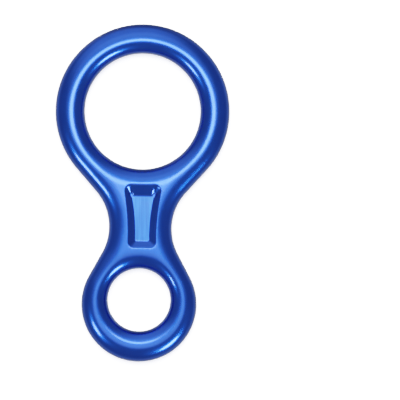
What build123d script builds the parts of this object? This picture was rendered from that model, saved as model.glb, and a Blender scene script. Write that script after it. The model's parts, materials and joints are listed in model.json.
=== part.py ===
from build123d import *
import os
from math import acos, atan2, cos, hypot, sin

# Figure-eight rope descender, forged in one piece from aluminium alloy.
# It lies flat: +Y runs along its length towards the large eye, X is its width and
# Z its thickness. The origin is the middle of the flat underside. Millimetres.

LENGTH = 120.0
THICKNESS = 12.0

# large ring, with the eye that the rope passes through
LARGE_RING_R = 31.0
ROPE_EYE_R = 20.5

# small ring, with the eye that the carabiner clips into
SMALL_RING_R = 20.5
CARABINER_EYE_R = 11.1
CARABINER_EYE_SHIFT = 1.5  # the eye's centre is nearer the neck than the ring's centre

# neck between the two rings
NECK_HALF_WIDTH = 11.2
NECK_HOLLOW_R = 19.0  # each side of the neck is a hollow arc of this radius
NECK_Y = -12.3  # where the neck is narrowest

# The rims of the outline and of both eyes are rounded alike, on both faces, which
# leaves a straight land round the mid-plane.
RIM_R = 4.2

# Recess in each face of the neck. Its mouth and its floor have the same outline:
# straight across the top and the foot, with hollow sides that follow the neck.
RECESS_DEPTH = 1.4
RECESS_SHIFT = 0.7  # it is pressed this far right of the body's axis
MOUTH = {"top": (6.9, 3.1), "waist": (5.2, -9.0), "foot": (5.0, -19.4), "corner_r": 2.2}
FLOOR = {"top": (4.1, -0.9), "waist": (2.9, -9.0), "foot": (2.7, -17.2), "corner_r": 1.0}
RECESS_LIP_R = 0.6
RECESS_FLOOR_R = 0.4

# worked out from the sizes above
LARGE_Y = LENGTH / 2 - LARGE_RING_R
SMALL_Y = SMALL_RING_R - LENGTH / 2
CARABINER_EYE_Y = SMALL_Y + CARABINER_EYE_SHIFT
NECK_HOLLOW_X = NECK_HALF_WIDTH + NECK_HOLLOW_R
MID_PLANE = Plane.XY.offset(THICKNESS / 2)
RECESS_MOUTH_PLANE = Plane((RECESS_SHIFT, 0, THICKNESS))


def flank(ring_y, ring_r, side):
    """Both ends of the straight flank that joins a ring to the neck's hollow arc.

    The flank touches both circles and crosses the line between their centres, so
    the radius to either end makes the same angle with that line. side is 1 for the
    ring above the neck and -1 for the ring below it.
    """
    run_y = NECK_Y - ring_y
    spread = acos((ring_r + NECK_HOLLOW_R) / hypot(NECK_HOLLOW_X, run_y))
    angle = atan2(run_y, NECK_HOLLOW_X) + side * spread
    ring_end = (ring_r * cos(angle), ring_y + ring_r * sin(angle))
    neck_end = (
        NECK_HOLLOW_X - NECK_HOLLOW_R * cos(angle),
        NECK_Y - NECK_HOLLOW_R * sin(angle),
    )
    return ring_end, neck_end


large_end, neck_top = flank(LARGE_Y, LARGE_RING_R, 1)
small_end, neck_foot = flank(SMALL_Y, SMALL_RING_R, -1)


def recess_outline(top, waist, foot, corner_r):
    """Sketch of the recess: its top, its foot and two hollow sides, with rounded corners."""
    with BuildSketch() as outline:
        with BuildLine():
            Line((0, top[1]), top)
            ThreePointArc(top, waist, foot)
            Line(foot, (0, foot[1]))
            mirror(about=Plane.YZ)
        make_face()
        corners = vertices().group_by(Axis.X)
        fillet(corners[0] + corners[1] + corners[-2] + corners[-1], radius=corner_r)
    return outline.sketch


with BuildPart() as figure_eight_body:
    # upper half, from the mid-plane to the top face
    with BuildSketch(MID_PLANE):
        with BuildLine():
            ThreePointArc((0, LARGE_Y + LARGE_RING_R), (LARGE_RING_R, LARGE_Y), large_end)
            Line(large_end, neck_top)
            ThreePointArc(neck_top, (NECK_HALF_WIDTH, NECK_Y), neck_foot)
            Line(neck_foot, small_end)
            ThreePointArc(small_end, (SMALL_RING_R, SMALL_Y), (0, SMALL_Y - SMALL_RING_R))
            mirror(about=Plane.YZ)
        make_face()
        with Locations((0, LARGE_Y)):
            Circle(ROPE_EYE_R, mode=Mode.SUBTRACT)
        with Locations((0, CARABINER_EYE_Y)):
            Circle(CARABINER_EYE_R, mode=Mode.SUBTRACT)
    extrude(amount=THICKNESS / 2)
    top_face = faces().sort_by(Axis.Z)[-1]
    fillet(top_face.edges(), radius=RIM_R)

    # recess, narrowing from its mouth to its floor
    with BuildSketch(RECESS_MOUTH_PLANE):
        add(recess_outline(**MOUTH))
    with BuildSketch(RECESS_MOUTH_PLANE.offset(-RECESS_DEPTH)):
        add(recess_outline(**FLOOR))
    loft(mode=Mode.SUBTRACT)
    recess_floor = faces().filter_by_position(Axis.Z, THICKNESS - RECESS_DEPTH, THICKNESS - RECESS_DEPTH)
    fillet(recess_floor.edges(), radius=RECESS_FLOOR_R)
    recess_wires = faces().sort_by(Axis.Z)[-1].inner_wires()
    recess_mouth = recess_wires.sort_by(SortBy.LENGTH)[0]
    fillet(recess_mouth.edges(), radius=RECESS_LIP_R)

    # the lower half is its mirror image
    mirror(about=MID_PLANE)

os.makedirs("parts", exist_ok=True)
figure_eight_body.part.label = "figure_eight_body"
export_step(figure_eight_body.part, "parts/figure_eight_body.step")
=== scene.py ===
"""Figure-eight rope descender: its forged and anodised body, and the studio it lies in."""

import json
from math import acos, atan2, cos, hypot, pi, radians, sin, tan

import bmesh
import bpy
import numpy as np
from bpy.props import FloatProperty, FloatVectorProperty, IntProperty, PointerProperty
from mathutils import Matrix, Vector


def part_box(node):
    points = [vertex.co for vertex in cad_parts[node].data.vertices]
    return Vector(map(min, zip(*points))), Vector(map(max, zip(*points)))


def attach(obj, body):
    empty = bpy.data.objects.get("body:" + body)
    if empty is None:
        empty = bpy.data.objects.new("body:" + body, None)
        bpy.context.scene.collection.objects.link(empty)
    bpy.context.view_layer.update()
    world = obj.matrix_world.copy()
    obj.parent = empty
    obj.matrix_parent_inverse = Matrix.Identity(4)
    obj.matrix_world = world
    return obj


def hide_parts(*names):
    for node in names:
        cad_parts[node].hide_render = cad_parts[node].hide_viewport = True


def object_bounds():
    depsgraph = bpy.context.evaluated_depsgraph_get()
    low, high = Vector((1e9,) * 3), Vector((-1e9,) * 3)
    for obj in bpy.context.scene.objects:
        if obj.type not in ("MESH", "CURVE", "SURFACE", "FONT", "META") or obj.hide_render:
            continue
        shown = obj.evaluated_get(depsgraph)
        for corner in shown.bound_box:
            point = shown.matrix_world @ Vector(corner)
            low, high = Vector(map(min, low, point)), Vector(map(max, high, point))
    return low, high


bl_info = {
    "name": "Figure-Eight Descender",
    "version": (1, 0, 0),
    "blender": (4, 5, 0),
    "location": "3D View > Sidebar > Descender",
    "description": "Builds a forged figure-eight rope descender around its CAD frame",
    "category": "Object",
}

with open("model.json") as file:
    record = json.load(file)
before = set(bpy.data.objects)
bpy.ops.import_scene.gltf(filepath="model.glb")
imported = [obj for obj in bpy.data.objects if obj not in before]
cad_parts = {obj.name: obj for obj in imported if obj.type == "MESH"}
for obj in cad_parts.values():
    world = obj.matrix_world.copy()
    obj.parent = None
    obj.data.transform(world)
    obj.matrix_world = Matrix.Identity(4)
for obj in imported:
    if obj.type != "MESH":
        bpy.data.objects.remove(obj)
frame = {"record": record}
cad_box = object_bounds()

CAD_NODE = "figure_eight_body"
BODY_LOW, BODY_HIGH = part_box(CAD_NODE)
MOUNTS = {mount["name"]: mount for mount in frame["record"]["mounts"]}
MM = 0.001
MID_HEIGHT = (BODY_LOW.z + BODY_HIGH.z) / 2

# recess in each face, where its wall starts and where it would meet the brushed panel without
# its fillet: corners of the right half, the middle of its side, and corner radii
MOUTH = {
    "top": (6.9 * MM, 3.1 * MM),
    "waist": (5.2 * MM, -9.0 * MM),
    "foot": (5.0 * MM, -19.4 * MM),
    "radii": (2.6 * MM, 2.0 * MM),
}
PANEL = {
    "top": (4.1 * MM, -0.9 * MM),
    "waist": (2.9 * MM, -9.0 * MM),
    "foot": (2.7 * MM, -17.2 * MM),
    "radii": (0.7 * MM, 0.8 * MM),
}
LIP = 0.19  # how far the wall's top is eased each way, as a share of the wall's width
FILLET = 0.10  # the same for the wall's foot
CORNER_DRAFT = 0.5  # how much steeper the wall is in its upper corners

# mesh
STRIP_ROWS = 8  # between the rims, and round each corner of the recess
WALL_ROWS = 24  # down the wall of the recess
PANEL_ROWS = 8  # from the foot of the wall to the line that closes the panel
PANEL_LINE = (-14.0 * MM, -4.0 * MM)  # the two ends of that line
MERGE_DISTANCE = 0.001 * MM

# materials
WALL_SHADE_TO_FACE = (1.5 * MM, 4.0 * MM)  # from the mid-plane, where the painted shade on the upright wall gives way to the bright face
CREST = (5.4 * MM, 6.0 * MM)  # from the mid-plane, where rubbing starts and where it is full
RUBBED_TINT = 0.06  # share of the panel's paler blue on a rubbed crest
RUBBED_ROUGHNESS = 0.02  # roughness that rubbing adds
PANEL_ROUGHNESS = (0.34, 0.44)
PANEL_STREAK = 0.66  # the darkest streak of the brushed panel, as a share of its colour
FLOOR_MOTTLE = 0.985  # the floor's darkest patch, as a share of its colour

# overhead lamps: width and height, then brightness
OVERHEAD_CORE = ((0.094, 0.048), 8.2)
OVERHEAD_EDGE = ((0.150, 0.092), 1.9)
OVERHEAD_PLACE = (0.003, 0.035, 0.26)  # from the body's middle
# front lamps: the same, then azimuth, slant and distance from the body's middle
LEFT_LAMP = ((0.120, 0.110), 15.0, (217, 46, 0.54))
RIGHT_LAMP = ((0.200, 0.135), 18.5, (305, 54, 0.57))
FLOOR_LAMP = (95, 10)  # azimuth and slant
FLOOR_LAMP_WIDTH = 26  # degrees across, for a soft shadow

# floor and room
FLOOR_HALF = 3.0  # half the floor's side, in metres
FLOOR_POINTS = 3  # points of its mesh along each side
HORIZON_BLUR = 0.05  # how far above and below the horizon the room blends into the floor's glow
# soft glows in the room: azimuth, slant, angle where each starts, angle where it is full, brightness
GLOWS = ((105, 54, 46, 10, 0.62), (95, 16, 34, 6, 0.6), (270, 4, 17, 3, 1.1), (90, 118, 40, 8, -0.3))

# tone curve
WHITE_LEVEL = 3.3  # brightness of light that comes out as pure white
TOE = 1.29  # the more it is, the deeper the darks
SHOULDER = 0.106  # the less it is, the softer the highlights
CURVE_POINTS = (0.005, 0.015, 0.07, 0.30, 0.6)  # light, as a share of WHITE_LEVEL, at the curve's points


def mount_radius(name):
    """Radius of a round mount, in metres."""
    return MOUNTS[name]["dims"]["r_mm"] * MM


# ---------------------------------------------------------------- settings


class DescenderShape(bpy.types.PropertyGroup):
    """Sizes of the forging. Lengths are in metres."""

    small_ring_radius: FloatProperty(
        name="Small Ring Radius",
        description="Outer radius of the ring round the carabiner eye",
        default=20.5 * MM,
        unit="LENGTH",
    )
    neck_half_width: FloatProperty(
        name="Neck Half Width",
        description="From the axis to the side of the neck where it is narrowest",
        default=11.2 * MM,
        unit="LENGTH",
    )
    neck_hollow_radius: FloatProperty(
        name="Neck Hollow Radius",
        description="Radius of the concave side of the neck",
        default=19.0 * MM,
        unit="LENGTH",
    )
    neck_y: FloatProperty(
        name="Neck Place",
        description="Where along the body the neck is narrowest",
        default=-12.3 * MM,
        unit="LENGTH",
    )
    land_half_height: FloatProperty(
        name="Land Half Height",
        description="Half the height of the straight wall left round the mid-plane",
        default=0.8 * MM,
        unit="LENGTH",
    )
    outline_rounding: FloatProperty(
        name="Outline Rounding",
        description="How far in from the outline the face is still rising",
        default=7.9 * MM,
        unit="LENGTH",
    )
    outline_power: FloatProperty(
        name="Outline Power",
        description="Superellipse power of the outline's rounding: 2 is an ellipse, more is squarer",
        default=2.6,
        min=2.0,
        max=4.0,
    )
    eye_rounding: FloatProperty(
        name="Eye Rounding",
        description="How far out from the edge of an eye the face is still rising",
        default=7.0 * MM,
        unit="LENGTH",
    )
    eye_power: FloatProperty(
        name="Eye Power",
        description="Superellipse power of the rounding round the eyes",
        default=2.5,
        min=2.0,
        max=4.0,
    )
    rim_width: FloatProperty(
        name="Rim Width",
        description="Width of the strips of mesh that follow the outline and the eyes",
        default=4.0 * MM,
        unit="LENGTH",
    )
    recess_depth: FloatProperty(
        name="Recess Depth",
        description="Depth of the panel pressed into each face of the neck",
        default=1.4 * MM,
        unit="LENGTH",
    )
    recess_shift: FloatProperty(
        name="Recess Shift",
        description="How far right of the body's axis the recess is pressed",
        default=0.7 * MM,
        unit="LENGTH",
    )
    rim_rows: IntProperty(
        name="Rim Rows",
        description="Rows of mesh from the land to the inner side of a rim strip",
        default=20,
        min=6,
    )
    spacing: FloatProperty(
        name="Spacing",
        description="Length of a mesh edge along the outline",
        default=0.5 * MM,
        unit="LENGTH",
    )


class AnodisedFinish(bpy.types.PropertyGroup):
    """Colours and gloss of the anodised metal."""

    deep_blue: FloatVectorProperty(
        name="Deep Blue",
        description="Colour of the dyed oxide where it is thickest",
        default=(0.009, 0.074, 0.50),
        subtype="COLOR",
        size=3,
    )
    bright_blue: FloatVectorProperty(
        name="Bright Blue",
        description="Colour of the dyed oxide where it is thinnest",
        default=(0.012, 0.084, 0.56),
        subtype="COLOR",
        size=3,
    )
    panel_blue: FloatVectorProperty(
        name="Panel Blue",
        description="Paler colour of the brushed panel at the bottom of the recess",
        default=(0.030, 0.178, 0.84),
        subtype="COLOR",
        size=3,
    )
    # painted shade: this darker blue is painted on the upright walls round the mid-plane
    painted_shade_wall_blue: FloatVectorProperty(
        name="Wall Blue",
        description="Duller colour of the upright walls, where rope and hands wear the oxide",
        default=(0.020, 0.066, 0.34),
        subtype="COLOR",
        size=3,
    )
    gloss_roughness: FloatProperty(
        name="Metal Roughness",
        description="Roughness of the metal under the clear oxide",
        default=0.25,
        subtype="FACTOR",
        min=0.0,
        max=1.0,
    )
    oxide_roughness: FloatProperty(
        name="Oxide Roughness",
        description="Roughness of the clear outer surface",
        default=0.10,
        subtype="FACTOR",
        min=0.0,
        max=1.0,
    )


class StudioSettings(bpy.types.PropertyGroup):
    """Floor, lights and camera."""

    camera_height: FloatProperty(
        name="Camera Height",
        description="From the body's mid-plane to the camera",
        default=2.2,
        unit="LENGTH",
    )
    view_width: FloatProperty(
        name="View Width",
        description="Width that the camera sees at the body's mid-plane",
        default=142.2 * MM,
        unit="LENGTH",
    )
    camera_side: FloatVectorProperty(
        name="Camera Place",
        description="How far the camera stands right of and above the body's middle",
        default=(21.0 * MM, -2.1 * MM),
        subtype="XYZ",
        size=2,
    )
    camera_roll: FloatProperty(
        name="Camera Roll",
        description="Turn of the camera about its line of sight",
        default=radians(1.09),
        subtype="ANGLE",
    )
    floor_color: FloatVectorProperty(
        name="Floor Colour",
        description="Colour of the plain floor",
        default=(0.92, 0.92, 0.92),
        subtype="COLOR",
        size=3,
    )
    floor_light: FloatProperty(
        name="Floor Light",
        description="Strength of the light that only the floor takes",
        default=10.5,
        min=0.0,
    )
    floor_glow: FloatProperty(
        name="Floor Glow",
        description="Brightness of the floor where the metal reflects it",
        default=0.6,
        min=0.0,
    )
    surround: FloatProperty(
        name="Surround",
        description="Brightness of the room away from the lights",
        default=0.36,
        min=0.0,
    )


# ---------------------------------------------------------------- outline


class Plan:
    """The body's outline and eyes, worked out from the frame and the settings.

    All but outline_inset hold for the half on the right of the axis.
    """

    def __init__(self, shape):
        rope, carabiner = MOUNTS["rope_eye"], MOUNTS["carabiner_eye"]
        self.large_r = (BODY_HIGH.x - BODY_LOW.x) / 2
        self.large_y = BODY_HIGH.y - self.large_r
        self.small_r = shape.small_ring_radius
        self.small_y = BODY_LOW.y + self.small_r
        self.eyes = (
            (rope["pos_m"][1], mount_radius("rope_eye")),
            (carabiner["pos_m"][1], mount_radius("carabiner_eye")),
        )
        self.hollow_r = shape.neck_hollow_radius
        self.hollow_x = shape.neck_half_width + self.hollow_r
        self.hollow_y = shape.neck_y
        self.large_angle, self.large_run = self.flank(self.large_y, self.large_r, 1)
        self.small_angle, self.small_run = self.flank(self.small_y, self.small_r, -1)

    def flank(self, ring_y, ring_r, side):
        """Angle of the radius to the straight flank that touches a ring and the hollow, and its length.

        The flank crosses the line between the two centres, so both of its radii make the
        angle acos((ring radius + hollow radius) / distance between centres) with that line.
        """
        run_y = self.hollow_y - ring_y
        distance = hypot(self.hollow_x, run_y)
        touching = ring_r + self.hollow_r
        angle = atan2(run_y, self.hollow_x) + side * acos(touching / distance)
        return angle, (distance**2 - touching**2) ** 0.5

    def outline_inset(self, x, y):
        """Distance from the outline, inwards, of each point.

        The body's half is cut into five zones by the radii at the ends of the flanks. In
        each zone the nearest piece of outline is known: an arc, a flank or the hollow.
        """
        x = np.abs(x)
        cos_l, sin_l = cos(self.large_angle), sin(self.large_angle)
        cos_s, sin_s = cos(self.small_angle), sin(self.small_angle)
        past_large = x * sin_l - (y - self.large_y) * cos_l
        past_small = -x * sin_s + (y - self.small_y) * cos_s
        large_arc = self.large_r - np.hypot(x, y - self.large_y)
        large_flank = self.large_r - (x * cos_l + (y - self.large_y) * sin_l)
        hollow = np.hypot(x - self.hollow_x, y - self.hollow_y) - self.hollow_r
        small_flank = self.small_r - (x * cos_s + (y - self.small_y) * sin_s)
        small_arc = self.small_r - np.hypot(x, y - self.small_y)
        return np.select(
            [past_large < 0, past_large < self.large_run, past_small < 0, past_small < self.small_run],
            [large_arc, large_flank, small_arc, small_flank],
            default=hollow,
        )

    def ring_edge(self, large, spacing):
        """Points and inward normals along one ring's arc and flank, from the axis to the neck."""
        if large:
            y, r, start = self.large_y, self.large_r, pi / 2
            end, run = self.large_angle, self.large_run
        else:
            y, r, start = self.small_y, self.small_r, -pi / 2
            end, run = self.small_angle, self.small_run
        side = np.sign(start - end)
        arc_count = int(abs(start - end) * r / spacing)
        run_count = int(run / spacing)
        angles = np.concatenate([np.linspace(start, end, arc_count + 1), np.full(run_count, end)])
        along = np.concatenate([np.zeros(arc_count + 1), np.linspace(0, run, run_count + 1)[1:]])
        outward = np.stack([np.cos(angles), np.sin(angles)], axis=1)
        onward = side * np.stack([np.sin(angles), -np.cos(angles)], axis=1)
        points = np.array([0, y]) + outward * r + onward * along[:, None]
        return points, -outward

    def neck_edge(self, spacing):
        """Points and inward normals along the hollow side of the neck, from its top to its foot."""
        start, end = pi + self.large_angle, pi + self.small_angle
        count = int((end - start) * self.hollow_r / spacing)
        angles = np.linspace(start, end, count + 1)
        inward = np.stack([np.cos(angles), np.sin(angles)], axis=1)
        return np.array([self.hollow_x, self.hollow_y]) + inward * self.hollow_r, inward


class Face:
    """Height of the body's upper face at each point of its plan."""

    def __init__(self, shape, plan):
        self.plan = plan
        self.land = shape.land_half_height
        self.rise = BODY_HIGH.z - MID_HEIGHT - self.land
        self.at_outline = (shape.outline_rounding, shape.outline_power)
        self.at_eye = (shape.eye_rounding, shape.eye_power)

    def shortfall(self, inset, width, power):
        """Share of the rise still missing at a distance in from an edge.

        One minus a superellipse: (1 - (1 - inset / width) ** power) ** (1 / power).
        """
        left = np.clip(1 - inset / width, 0, 1)
        return 1 - (1 - left**power) ** (1 / power)

    def eye_shortfall(self, x, y, skip=None):
        """Shortfall caused by both eyes, leaving out the eye numbered skip."""
        total = np.zeros_like(x)
        for number, (eye_y, eye_r) in enumerate(self.plan.eyes):
            if number != skip:
                total += self.shortfall(np.hypot(x, y - eye_y) - eye_r, *self.at_eye)
        return total

    def height(self, missing):
        """Height above the ground for a total shortfall."""
        return MID_HEIGHT + self.land + self.rise * (1 - missing)

    def plate(self, points):
        """The face over points away from any edge, as an array of x, y and z."""
        x, y = points[..., 0], points[..., 1]
        missing = self.shortfall(self.plan.outline_inset(x, y), *self.at_outline)
        missing = missing + self.eye_shortfall(x, y)
        return np.dstack([x, y, self.height(missing)])

    def rim(self, edge, inward, rim_width, rows, eye=None):
        """A rounded strip along an edge, from the mid-plane over to rim_width inside it.

        Rows follow the superellipse by its angle a: inset = width * (1 - cos(a) ** (2 / power))
        and rise = sin(a) ** (2 / power), so they are as close at the wall as on the face.
        eye is the number of the eye whose edge this is, or None for the outline.
        """
        width, power = self.at_outline if eye is None else self.at_eye
        last = acos((1 - rim_width / width) ** (power / 2))
        angle = np.linspace(0, last, rows)
        inset = width * (1 - np.cos(angle) ** (2 / power))
        points = edge[:, None, :] + inward[:, None, :] * inset[None, :, None]
        x, y = points[..., 0], points[..., 1]
        own = 1 - np.sin(angle) ** (2 / power)
        missing = own[None, :] + self.eye_shortfall(x, y, skip=eye)
        if eye is not None:
            missing = missing + self.shortfall(self.plan.outline_inset(x, y), *self.at_outline)
        z = self.height(missing)
        foot = np.dstack([x[:, :1], y[:, :1], np.full_like(z[:, :1], MID_HEIGHT)])
        return np.concatenate([foot, np.dstack([x, y, z])], axis=1)


# ---------------------------------------------------------------- recess


def rounded_corner(before, corner, after, radius, count):
    """Points on the arc that rounds a corner, from the side of before to the side of after.

    The arc's centre is on the line that halves the corner, radius / sin(half angle) from it.
    """
    to_before = (before - corner) / np.linalg.norm(before - corner)
    to_after = (after - corner) / np.linalg.norm(after - corner)
    half = acos(float(np.clip(to_before @ to_after, -1, 1))) / 2
    middle = to_before + to_after
    centre = corner + middle / np.linalg.norm(middle) * radius / sin(half)
    first = corner + to_before * radius / tan(half) - centre
    last = corner + to_after * radius / tan(half) - centre
    start = atan2(first[1], first[0])
    sweep = (atan2(last[1], last[0]) - start + pi) % (2 * pi) - pi
    angles = start + np.linspace(0, sweep, count + 1)
    return centre + radius * np.stack([np.cos(angles), np.sin(angles)], axis=1)


def recess_edge(top, waist, foot, radii, counts):
    """Right half of a recess outline, from the axis at its top to the axis at its foot.

    top and foot are its corners. Its side is a parabola through top, waist and foot, and
    radii round the two corners. counts are the steps along top, corner, side, corner, foot.
    """
    top, waist, foot = np.array(top), np.array(waist), np.array(foot)
    bow = np.polyfit([top[1], waist[1], foot[1]], [top[0], waist[0], foot[0]], 2)
    near_top = np.array([np.polyval(bow, top[1] - radii[0]), top[1] - radii[0]])
    near_foot = np.array([np.polyval(bow, foot[1] + radii[1]), foot[1] + radii[1]])
    upper = rounded_corner(np.array([0, top[1]]), top, near_top, radii[0], counts[1])
    lower = rounded_corner(near_foot, foot, np.array([0, foot[1]]), radii[1], counts[3])
    head = np.linspace(np.array([0, top[1]]), upper[0], counts[0] + 1)
    side_y = np.linspace(upper[-1][1], lower[0][1], counts[2] + 1)
    share = np.linspace(0, 1, counts[2] + 1)
    side_x = np.polyval(bow, side_y)
    side_x += (upper[-1][0] - side_x[0]) * (1 - share) ** 4 + (lower[0][0] - side_x[-1]) * share**4
    side = np.stack([side_x, side_y], axis=1)
    tail = np.linspace(lower[-1], np.array([0, foot[1]]), counts[4] + 1)
    return np.concatenate([head, upper[1:], side[1:], lower[1:], tail[1:]])


def eased_ramp(share, lip, fillet):
    """Depth of the recess wall, 0 at its mouth and 1 at its floor, with both ends eased.

    It is straight in between, and each end is a parabola that meets the straight and the
    level at their own slopes: lip and fillet are half the width of each parabola.
    """
    at_lip = (share + lip) ** 2 / (4 * lip)
    at_fillet = 1 - (1 + fillet - share) ** 2 / (4 * fillet)
    return np.select([share < lip, share > 1 - fillet], [at_lip, at_fillet], default=share)


# ---------------------------------------------------------------- mesh


def grid_quads(rows, columns):
    """The four point numbers of each face of a grid whose points are numbered row by row."""
    index = np.arange(rows * columns).reshape(rows, columns)
    quads = np.stack([index[:-1, :-1], index[:-1, 1:], index[1:, 1:], index[1:, :-1]], axis=-1)
    return quads.reshape(-1, 4)


class Patchwork:
    """Grids of points gathered into one closed mesh."""

    def __init__(self):
        self.points = []
        self.faces = []
        self.panel = []
        self.count = 0

    def add(self, grid, panel=False, sides=(1, -1)):
        """Adds a grid of points, with its reflections in the body's two planes of symmetry.

        Seen from above, the grid runs clockwise round the body along its first axis and
        inwards along its second. Each reflection turns the order of a face's corners. sides
        has 1 for the grid on the right of the axis and -1 for its reflection on the left.
        """
        quads = grid_quads(*grid.shape[:2])
        for mirror_x in sides:
            for mirror_z in (1, -1):
                placed = grid.reshape(-1, 3).copy()
                placed[:, 0] *= mirror_x
                placed[:, 2] = MID_HEIGHT + (placed[:, 2] - MID_HEIGHT) * mirror_z
                corners = quads if mirror_x == mirror_z else quads[:, ::-1]
                self.points.append(placed)
                self.faces.append(corners + self.count)
                self.panel.append(np.full(len(quads), panel))
                self.count += len(placed)

    def build(self, name):
        """One mesh of all the grids, with points that lie on each other merged."""
        mesh = bpy.data.meshes.new(name)
        mesh.from_pydata(np.concatenate(self.points), [], np.concatenate(self.faces))
        mesh.polygons.foreach_set("material_index", np.concatenate(self.panel).astype(np.int32))
        mesh.shade_smooth()
        merged = bmesh.new()
        merged.from_mesh(mesh)
        bmesh.ops.remove_doubles(merged, verts=merged.verts, dist=MERGE_DISTANCE)
        merged.to_mesh(mesh)
        merged.free()
        return mesh


def fill(outer, inner, rows):
    """A grid of straight lines from each point of one edge to the matching point of another."""
    share = np.linspace(0, 1, rows)[None, :, None]
    return outer[:, None, :] * (1 - share) + inner[:, None, :] * share


def recess_half(work, face, shape, around, counts, mirror_x):
    """One half of the recess, with the face of the neck between it and the points around it.

    The half on the left (mirror_x -1) is laid out on the right of the axis and reflected, so
    there its shift is turned round. counts are the steps that recess_edge takes.
    """
    shift = np.array([shape.recess_shift * mirror_x, 0])
    mouth = recess_edge(**MOUTH, counts=counts) + shift
    run = recess_edge(**PANEL, counts=counts) + shift - mouth
    work.add(face.plate(fill(around, mouth - run * LIP, STRIP_ROWS)), sides=[mirror_x])

    # wall, steeper in its upper corners
    share = np.linspace(-LIP, 1 + FILLET, WALL_ROWS)
    wall = face.plate(mouth[:, None, :] + run[:, None, :] * share[None, :, None])
    steepness = np.ones(len(mouth))
    corner = slice(counts[0], counts[0] + counts[1] + 1)
    steepness[corner] += CORNER_DRAFT * np.sin(np.linspace(0, pi, counts[1] + 1))
    share = np.clip(share[None, :] * steepness[:, None], -LIP, 1 + FILLET)
    wall[..., 2] -= shape.recess_depth * eased_ramp(share, LIP, FILLET)
    work.add(wall, sides=[mirror_x])

    # panel, which closes on a line down its middle
    wall_foot = wall[:, -1, :2]
    line_y = np.clip(wall_foot[:, 1], *PANEL_LINE)
    line = np.stack([np.full_like(line_y, shift[0]), line_y], axis=1)
    panel = fill(wall_foot, line, PANEL_ROWS)
    level = np.full(panel.shape[:2], BODY_HIGH.z - shape.recess_depth)
    work.add(np.dstack([panel, level]), panel=True, sides=[mirror_x])


def body_mesh(shape):
    """The whole body: rims along the outline and the eyes, and the face and recess between them."""
    plan = Plan(shape)
    face = Face(shape, plan)
    width, rows, spacing = shape.rim_width, shape.rim_rows, shape.spacing
    work = Patchwork()

    # rims and ring faces, with each line of the face on a radius of its eye
    eye_angles = []
    shoulders = []
    for number, large in enumerate((True, False)):
        eye_y, eye_r = plan.eyes[number]
        edge, inward = plan.ring_edge(large, spacing)
        inner_edge = edge + inward * width
        angle = np.arctan2(inner_edge[:, 1] - eye_y, inner_edge[:, 0])
        spokes = np.stack([np.cos(angle), np.sin(angle)], axis=1)
        outer_rim = face.rim(edge, inward, width, rows)
        eye_edge = np.array([0, eye_y]) + spokes * (eye_r + width)
        ring_face = face.plate(fill(inner_edge, eye_edge, STRIP_ROWS))
        far_end = -pi / 2 if large else pi / 2
        rest_count = int(abs(far_end - angle[-1]) * (eye_r + width) / spacing)
        rest = np.linspace(angle[-1], far_end, rest_count + 1)
        all_angles = np.concatenate([angle, rest[1:]])
        wall = np.stack([np.cos(all_angles), np.sin(all_angles)], axis=1)
        eye_rim = face.rim(np.array([0, eye_y]) + wall * eye_r, wall, width, rows, eye=number)
        if not large:
            outer_rim, ring_face, eye_rim = outer_rim[::-1], ring_face[::-1], eye_rim[::-1]
        work.add(outer_rim)
        work.add(ring_face)
        work.add(eye_rim[:, ::-1])
        eye_angles.append(rest)
        shoulders.append((inner_edge[-1], eye_edge[-1]))

    # side of the neck
    neck, inward = plan.neck_edge(spacing)
    work.add(face.rim(neck, inward, width, rows))

    # face of the neck, between the recess's mouth and the rims all round it
    ends = []
    for (eye_y, eye_r), rest in zip(plan.eyes, eye_angles):
        spokes = np.stack([np.cos(rest), np.sin(rest)], axis=1)
        ends.append(np.array([0, eye_y]) + spokes * (eye_r + width))
    upper_shoulder = np.linspace(shoulders[0][1], shoulders[0][0], STRIP_ROWS)
    lower_shoulder = np.linspace(shoulders[1][0], shoulders[1][1], STRIP_ROWS)
    neck_side = neck + inward * width
    around = np.concatenate(
        [ends[0][::-1], upper_shoulder[1:], neck_side[1:], lower_shoulder[1:], ends[1][1:]]
    )
    head, foot = (len(ends[0]) - 1) // 2, len(ends[1]) - 1
    flank = len(around) - 1 - head - foot - 2 * STRIP_ROWS
    counts = (head, STRIP_ROWS, flank, STRIP_ROWS, foot)
    for mirror_x in (1, -1):
        recess_half(work, face, shape, around, counts, mirror_x)
    return work.build("figure_eight_forging")


# ---------------------------------------------------------------- materials


class Nodes:
    """Adds nodes to the tree of a material or of the world."""

    def __init__(self, tree):
        self.tree = tree

    def add(self, kind, settings=None, **inputs):
        """Adds a node. An input is a value, or the output socket that feeds it.

        Inputs go by name, or by number after an underscore. settings are its own properties.
        """
        node = self.tree.nodes.new(kind)
        for name, value in (settings or {}).items():
            setattr(node, name, value)
        for name, value in inputs.items():
            key = int(name[1:]) if name[0] == "_" else name.replace("_", " ")
            if isinstance(value, bpy.types.NodeSocket):
                self.tree.links.new(value, node.inputs[key])
            else:
                node.inputs[key].default_value = value
        return node

    def spread(self, value, low, high, start=0.0, end=1.0, interpolation="LINEAR"):
        """Value mapped from the range low to high onto the range start to end."""
        settings = {"interpolation_type": interpolation}
        node = self.add("ShaderNodeMapRange", settings, Value=value, From_Min=low, From_Max=high)
        node.inputs["To Min"].default_value = start
        node.inputs["To Max"].default_value = end
        return node.outputs[0]

    def calculate(self, operation, first, second=0.0):
        """One step of arithmetic: the operation on the first value, or on both."""
        return self.add("ShaderNodeMath", {"operation": operation}, _0=first, _1=second).outputs[0]


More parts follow.
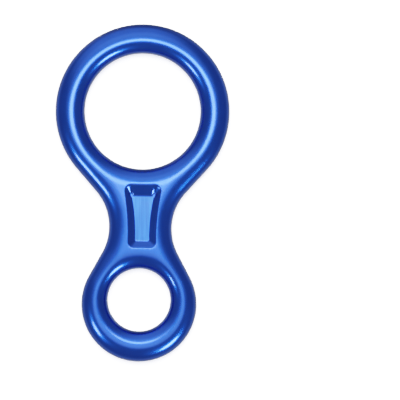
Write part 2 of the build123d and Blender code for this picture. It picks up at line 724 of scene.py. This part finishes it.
class Recipe(Nodes):
    """A material's nodes, ending in one Principled shader."""

    def __init__(self, name, sockets):
        self.material = bpy.data.materials.new(name)
        self.material.use_nodes = True
        super().__init__(self.material.node_tree)
        self.shader = self.tree.nodes["Principled BSDF"]
        for socket, value in sockets.items():
            self.shader.inputs[socket].default_value = value

    def feed(self, output, socket):
        """Links an output to one of the shader's sockets."""
        self.tree.links.new(output, self.shader.inputs[socket])

    def place(self, stretch=(1, 1, 1), turn=(0, 0, 0)):
        """Object coordinates, stretched and turned."""
        coordinates = self.add("ShaderNodeTexCoord").outputs["Object"]
        mapping = self.add("ShaderNodeMapping", Vector=coordinates, Scale=stretch, Rotation=turn)
        return mapping.outputs[0]

    def noise(self, scale, detail=3.0, **mapping):
        """Noise of a given scale per metre."""
        vector = self.place(**mapping)
        return self.add("ShaderNodeTexNoise", Vector=vector, Scale=scale, Detail=detail).outputs[0]

    def blend(self, share, first, second):
        """Mix of two colours."""
        node = self.add("ShaderNodeMix", {"data_type": "RGBA"}, Factor=share)
        for number, colour in ((6, first), (7, second)):
            if isinstance(colour, bpy.types.NodeSocket):
                self.tree.links.new(colour, node.inputs[number])
            else:
                node.inputs[number].default_value = (*colour, 1)
        return node.outputs[2]


def polished_material(finish):
    """Polished metal under clear blue oxide, with a faint hand-polish, rubbed crests and painted shade on
    the upright walls.
    """
    gloss = {"Metallic": 1.0, "Coat Weight": 1.0, "Coat IOR": 1.4, "Coat Roughness": finish.oxide_roughness}
    recipe = Recipe("polished_blue_oxide", gloss)

    # height of the surface above or below the mid-plane
    height = recipe.add("ShaderNodeSeparateXYZ", Vector=recipe.place()).outputs["Z"]
    from_middle = recipe.calculate("ABSOLUTE", recipe.calculate("SUBTRACT", height, MID_HEIGHT))
    crest = recipe.spread(from_middle, *CREST)
    rubbed = recipe.calculate("MULTIPLY", crest, recipe.spread(recipe.noise(260, detail=5), 0.45, 0.75))

    # colour: cloudy on the face, painted shade that darkens the upright walls, paler where the crests are
    # rubbed
    cloud = recipe.spread(recipe.noise(90), 0.35, 0.65)
    tone = recipe.blend(cloud, finish.deep_blue, finish.bright_blue)
    tone = recipe.blend(recipe.spread(from_middle, *WALL_SHADE_TO_FACE), finish.painted_shade_wall_blue, tone)
    tone = recipe.blend(recipe.calculate("MULTIPLY", rubbed, RUBBED_TINT), tone, finish.panel_blue)
    recipe.feed(tone, "Base Color")

    # gloss: crossed hairline scratches, and rubbing
    scratch_one = recipe.noise(900, detail=6, stretch=(0.12, 1, 1), turn=(0, 0, 0.5))
    scratch_two = recipe.noise(900, detail=6, stretch=(1, 0.1, 1), turn=(0, 0, -0.35))
    scratches = recipe.calculate("MULTIPLY", scratch_one, scratch_two)
    smooth, scratched = finish.gloss_roughness - 0.01, finish.gloss_roughness + 0.015
    fine = recipe.spread(scratches, 0.15, 0.4, smooth, scratched)
    rubbing = recipe.calculate("MULTIPLY", rubbed, RUBBED_ROUGHNESS)
    recipe.feed(recipe.calculate("ADD", fine, rubbing), "Roughness")

    # shallow marks left by tumbling
    marks = recipe.noise(160, detail=1)
    bump = recipe.add("ShaderNodeBump", Strength=0.35, Distance=0.004 * MM, Height=marks)
    recipe.feed(bump.outputs[0], "Normal")
    return recipe.material


def brushed_material(finish):
    """The panel at the bottom of the recess: the same oxide over metal brushed along the body."""
    satin = {"Metallic": 1.0, "Coat Weight": 0.4, "Coat IOR": 1.6, "Coat Roughness": 0.25}
    recipe = Recipe("brushed_blue_oxide", satin)
    streaks = recipe.noise(2600, detail=4, stretch=(1, 0.035, 1))
    broad = recipe.noise(700, detail=2, stretch=(1, 0.08, 1))
    grain = recipe.noise(1500, detail=5)
    fine_share = recipe.calculate("MULTIPLY", streaks, 0.6)
    broad_share = recipe.calculate("MULTIPLY", broad, 0.4)
    share = recipe.spread(recipe.calculate("ADD", fine_share, broad_share), 0.35, 0.65)
    dark = tuple(channel * PANEL_STREAK for channel in finish.panel_blue)
    recipe.feed(recipe.blend(share, dark, finish.panel_blue), "Base Color")
    recipe.feed(recipe.spread(grain, 0.3, 0.7, *PANEL_ROUGHNESS), "Roughness")
    bump = recipe.add("ShaderNodeBump", Strength=0.6, Distance=0.012 * MM, Height=streaks)
    recipe.feed(bump.outputs[0], "Normal")
    return recipe.material


def floor_material(colour):
    """Plain matt floor with a barely visible mottle, and a bluish light in its shadows."""
    matt = {
        "Roughness": 0.9,
        "Specular IOR Level": 0.1,
        "Emission Color": (0.62, 0.66, 1, 1),
        "Emission Strength": 0.8,
    }
    recipe = Recipe("pale_floor", matt)
    tone = recipe.spread(recipe.noise(30), 0.3, 0.7)
    darker = tuple(channel * FLOOR_MOTTLE for channel in colour)
    recipe.feed(recipe.blend(tone, darker, colour), "Base Color")
    return recipe.material


# ---------------------------------------------------------------- studio


def add_object(name, data):
    """A new object in the scene that holds data."""
    thing = bpy.data.objects.new(name, data)
    bpy.context.scene.collection.objects.link(thing)
    return thing


def softbox(name, size, radiance, place, aim=None):
    """A flat oval light, facing down or facing aim, that the camera doesn't see.

    size is its width and its height, its area is pi / 4 * width * height, and its power is
    pi * area * radiance.
    """
    light = bpy.data.lights.new(name, "AREA")
    light.shape = "ELLIPSE"
    light.size, light.size_y = size
    light.energy = pi**2 / 4 * size[0] * size[1] * radiance
    lamp = add_object(name, light)
    lamp.location = place
    lamp.visible_camera = False
    if aim is not None:
        lamp.rotation_euler = (place - aim).to_track_quat("Z", "Y").to_euler()


def toward(azimuth, slant, distance):
    """Vector of a length, turned azimuth degrees from +X and slant degrees from straight up."""
    azimuth, slant = radians(azimuth), radians(slant)
    flat = sin(slant)
    return Vector((flat * cos(azimuth), flat * sin(azimuth), cos(slant))) * distance


def tone_response(light):
    """Linear brightness on the screen, from 0 to 1, for light as a share of WHITE_LEVEL.

    With u = light ** TOE it is (1 + SHOULDER) * u / (u + SHOULDER).
    """
    lifted = light**TOE
    return (1 + SHOULDER) * lifted / (lifted + SHOULDER)


# ---------------------------------------------------------------- operators


class DESCENDER_OT_body(bpy.types.Operator):
    """Build the forged body and its finish in place of the plain CAD body"""

    bl_idname = "descender.body"
    bl_label = "Build Body"

    def execute(self, context):
        mesh = body_mesh(context.scene.descender_shape)
        mesh.materials.append(polished_material(context.scene.descender_finish))
        mesh.materials.append(brushed_material(context.scene.descender_finish))
        body = add_object("figure_eight_forging", mesh)
        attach(body, "root")
        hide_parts(CAD_NODE)
        return {"FINISHED"}


class DESCENDER_OT_studio(bpy.types.Operator):
    """Set the floor, the lamps, the room, the tones and the camera"""

    bl_idname = "descender.studio"
    bl_label = "Set Studio"

    def execute(self, context):
        settings = context.scene.descender_studio
        low, high = cad_box
        middle = (low + high) / 2
        self.floor(settings, low.z)
        self.lamps(middle)
        self.floor_light(settings)
        self.surround(context.scene, settings)
        self.tones(context.scene)
        self.camera(context.scene, settings, middle)
        return {"FINISHED"}

    def floor(self, settings, height):
        """A flat floor that the body lies on."""
        across = np.linspace(-FLOOR_HALF, FLOOR_HALF, FLOOR_POINTS)
        x, y = np.meshgrid(across, across)
        points = np.stack([x, y, np.full_like(x, height)], axis=-1).reshape(-1, 3)
        mesh = bpy.data.meshes.new("floor")
        mesh.from_pydata(points, [], grid_quads(FLOOR_POINTS, FLOOR_POINTS))
        mesh.materials.append(floor_material(settings.floor_color))
        floor = add_object("floor", mesh)
        floor.visible_glossy = False

    def lamps(self, middle):
        """An oval overhead lamp with a soft edge, and a lamp at each front corner."""
        for name, (size, radiance) in (("overhead_core", OVERHEAD_CORE), ("overhead_edge", OVERHEAD_EDGE)):
            softbox(name, size, radiance, middle + Vector(OVERHEAD_PLACE))
        for name, (size, radiance, place) in (("left_lamp", LEFT_LAMP), ("right_lamp", RIGHT_LAMP)):
            softbox(name, size, radiance, middle + toward(*place), middle)

    def floor_light(self, settings):
        """A wide light that only the floor takes, so that the body's shadow on it stays soft."""
        wash = bpy.data.lights.new("floor_wash", "SUN")
        wash.energy = settings.floor_light
        wash.angle = radians(FLOOR_LAMP_WIDTH)
        lamp = add_object("floor_wash", wash)
        lamp.rotation_euler = toward(*FLOOR_LAMP, 1).to_track_quat("Z", "Y").to_euler()
        takers = bpy.data.collections.new("floor_only")
        takers.objects.link(bpy.data.objects["floor"])
        lamp.light_linking.receiver_collection = takers

    def surround(self, scene, settings):
        """A dim room with a few soft glows, which the camera sees as plain white."""
        world = bpy.data.worlds.new("studio_room")
        world.use_nodes = True
        room = Nodes(world.node_tree)
        direction = room.add("ShaderNodeTexCoord").outputs["Generated"]
        height = room.add("ShaderNodeSeparateXYZ", _0=direction).outputs["Z"]
        strength = room.spread(height, -HORIZON_BLUR, HORIZON_BLUR, settings.floor_glow, settings.surround)
        for azimuth, slant, reach, core, brightness in GLOWS:
            dot = {"operation": "DOT_PRODUCT"}
            facing = room.add("ShaderNodeVectorMath", dot, _0=direction, _1=toward(azimuth, slant, 1))
            start, full = cos(radians(reach)), cos(radians(core))
            glow = room.spread(facing.outputs["Value"], start, full, 0.0, brightness, "SMOOTHSTEP")
            strength = room.calculate("ADD", strength, glow)
        walls = world.node_tree.nodes["Background"]
        walls.inputs["Color"].default_value = (1, 1, 1, 1)
        room.tree.links.new(strength, walls.inputs["Strength"])
        backdrop = room.add("ShaderNodeBackground", Color=(1, 1, 1, 1), Strength=WHITE_LEVEL)
        seen = room.add("ShaderNodeLightPath").outputs["Is Camera Ray"]
        either = room.add("ShaderNodeMixShader", _0=seen, _1=walls.outputs[0], _2=backdrop.outputs[0])
        room.tree.links.new(either.outputs[0], world.node_tree.nodes["World Output"].inputs["Surface"])
        scene.world = world

    def tones(self, scene):
        """The tone curve, with deep darks and soft highlights up to WHITE_LEVEL."""
        scene.view_settings.view_transform = "Standard"
        scene.view_settings.use_curve_mapping = True
        response = scene.view_settings.curve_mapping
        response.white_level = (WHITE_LEVEL, WHITE_LEVEL, WHITE_LEVEL)
        curve = response.curves[3]
        for light in CURVE_POINTS:
            curve.points.new(light, tone_response(light))
        response.update()

    def camera(self, scene, settings, middle):
        """A camera that looks straight down, a little to the right of the body."""
        lens = bpy.data.cameras.new("camera")
        lens.lens = lens.sensor_width * settings.camera_height / settings.view_width
        lens.clip_start = 0.01
        camera = add_object("camera", lens)
        camera.location = middle + Vector((*settings.camera_side, settings.camera_height))
        camera.rotation_euler = (0, 0, settings.camera_roll)
        scene.camera = camera


class DESCENDER_PT_panel(bpy.types.Panel):
    """Sidebar panel with the settings and the two build steps"""

    bl_label = "Figure-Eight Descender"
    bl_idname = "DESCENDER_PT_panel"
    bl_space_type = "VIEW_3D"
    bl_region_type = "UI"
    bl_category = "Descender"

    def draw(self, context):
        layout = self.layout
        for group in (
            context.scene.descender_shape,
            context.scene.descender_finish,
            context.scene.descender_studio,
        ):
            box = layout.box()
            for name in group.__annotations__:
                box.prop(group, name)
        layout.operator("descender.body")
        layout.operator("descender.studio")


CLASSES = (
    DescenderShape,
    AnodisedFinish,
    StudioSettings,
    DESCENDER_OT_body,
    DESCENDER_OT_studio,
    DESCENDER_PT_panel,
)


def register():
    for each in CLASSES:
        bpy.utils.register_class(each)
    bpy.types.Scene.descender_shape = PointerProperty(type=DescenderShape)
    bpy.types.Scene.descender_finish = PointerProperty(type=AnodisedFinish)
    bpy.types.Scene.descender_studio = PointerProperty(type=StudioSettings)


def unregister():
    del bpy.types.Scene.descender_studio
    del bpy.types.Scene.descender_finish
    del bpy.types.Scene.descender_shape
    for each in reversed(CLASSES):
        bpy.utils.unregister_class(each)


def main():
    register()
    bpy.ops.descender.body()
    bpy.ops.descender.studio()


if __name__ == "__main__":
    main()
